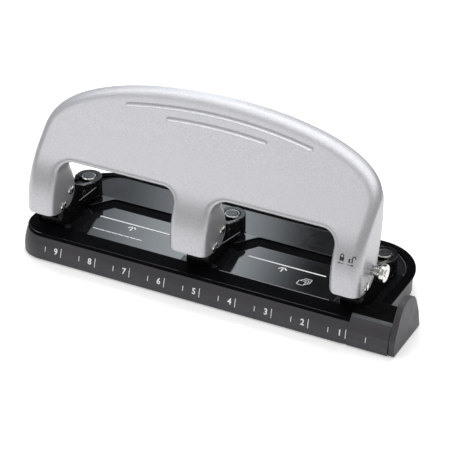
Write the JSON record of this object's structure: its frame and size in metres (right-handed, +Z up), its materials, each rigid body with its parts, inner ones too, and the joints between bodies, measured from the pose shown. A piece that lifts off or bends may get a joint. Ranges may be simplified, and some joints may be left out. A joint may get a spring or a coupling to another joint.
{
  "type": "three hole paper punch",
  "caption": "Desktop paper punch: shallow tray with a pressed plate, punch heads, a wide sheet handle, a pull-out guide and a chip drawer.",
  "frame": {"origin": "middle of the footprint, on the table", "axes": "+Z up, +X along the long side to the side with the paper guide, +Y to the rear"},
  "size_m": [0.2704, 0.1, 0.1132],
  "materials": {
    "tray_plastic": "fine satin grain",
    "plate_black": "gloss",
    "foot_rubber": "matte",
    "handle_silver": "metallic satin",
    "head_black": "semi gloss",
    "tool_steel": "ground",
    "nickel": "bright"
  },
  "bodies": {
    "base": {"base_tray": "tray_plastic", "base_plate": "plate_black", "rubber_feet": "foot_rubber", "guide_housing": "tray_plastic", "toe_screws": "nickel", "head_left": "head_black", "die_left": "tool_steel", "fulcrum_pin_left": "nickel", "return_spring_left": "nickel", "head_centre": "head_black", "die_centre": "tool_steel", "fulcrum_pin_centre": "nickel", "return_spring_centre": "nickel", "head_right": "head_black", "die_right": "tool_steel", "fulcrum_pin_right": "nickel", "return_spring_right": "nickel"},
    "handle": {"handle_shell": "handle_silver", "pivot_pin_left": "nickel", "pivot_pin_centre": "nickel", "drive_pin_left": "nickel", "drive_pin_centre": "nickel", "drive_pin_right": "nickel"},
    "lock": {"lock_shaft": "nickel", "lock_knob": "nickel"},
    "guide": {"guide_fin": "tray_plastic", "guide_bar": "tray_plastic"},
    "drawer": {"chip_drawer": "tray_plastic"},
    "rocker_left": {"rocker_left": "tool_steel"},
    "punch_left": {"punch_left": "tool_steel", "punch_cap_left": "nickel"},
    "rocker_centre": {"rocker_centre": "tool_steel"},
    "punch_centre": {"punch_centre": "tool_steel", "punch_cap_centre": "nickel"},
    "rocker_right": {"rocker_right": "tool_steel"},
    "punch_right": {"punch_right": "tool_steel", "punch_cap_right": "nickel"}
  },
  "joints": [
    {"name": "handle_pivot", "type": "hinge", "parent": "base", "child": "handle", "pos_m": [-0.0105, -0.0211, 0.04], "axis": [-1, 0, 0], "range_deg": [0, 38], "stiffness_Nm_per_rad": 0.35, "springref_deg": -25.78},
    {"name": "lock_slide", "type": "slide", "parent": "handle", "child": "lock", "axis": [-1, 0, 0], "range_m": [0, 0.003]},
    {"name": "guide_slide", "type": "slide", "parent": "base", "child": "guide", "axis": [1, 0, 0], "range_m": [0, 0.06]},
    {"name": "drawer_slide", "type": "slide", "parent": "base", "child": "drawer", "axis": [0, 1, 0], "range_m": [0, 0.06]},
    {"name": "rocker_left_pivot", "type": "hinge", "parent": "base", "child": "rocker_left", "pos_m": [-0.11845, 0, 0.026], "axis": [-1, 0, 0], "range_deg": [0, 14.4]},
    {"name": "punch_left_slide", "type": "slide", "parent": "base", "child": "punch_left", "axis": [0, 0, -1], "range_m": [0, 0.005], "deforming": ["return_spring_left"]},
    {"name": "rocker_centre_pivot", "type": "hinge", "parent": "base", "child": "rocker_centre", "pos_m": [-0.0105, 0, 0.026], "axis": [-1, 0, 0], "range_deg": [0, 14.4]},
    {"name": "punch_centre_slide", "type": "slide", "parent": "base", "child": "punch_centre", "axis": [0, 0, -1], "range_m": [0, 0.005], "deforming": ["return_spring_centre"]},
    {"name": "rocker_right_pivot", "type": "hinge", "parent": "base", "child": "rocker_right", "pos_m": [0.09745, 0, 0.026], "axis": [-1, 0, 0], "range_deg": [0, 14.4]},
    {"name": "punch_right_slide", "type": "slide", "parent": "base", "child": "punch_right", "axis": [0, 0, -1], "range_m": [0, 0.005], "deforming": ["return_spring_right"]}
  ],
  "couplings": [
    {"joint": "rocker_left_pivot", "follows": "handle_pivot", "ratio": 0.37368},
    {"joint": "punch_left_slide", "follows": "handle_pivot", "m_per_rad": 0.0073881},
    {"joint": "rocker_centre_pivot", "follows": "handle_pivot", "ratio": 0.37368},
    {"joint": "punch_centre_slide", "follows": "handle_pivot", "m_per_rad": 0.0073881},
    {"joint": "rocker_right_pivot", "follows": "handle_pivot", "ratio": 0.37368},
    {"joint": "punch_right_slide", "follows": "handle_pivot", "m_per_rad": 0.0073881}
  ]
}
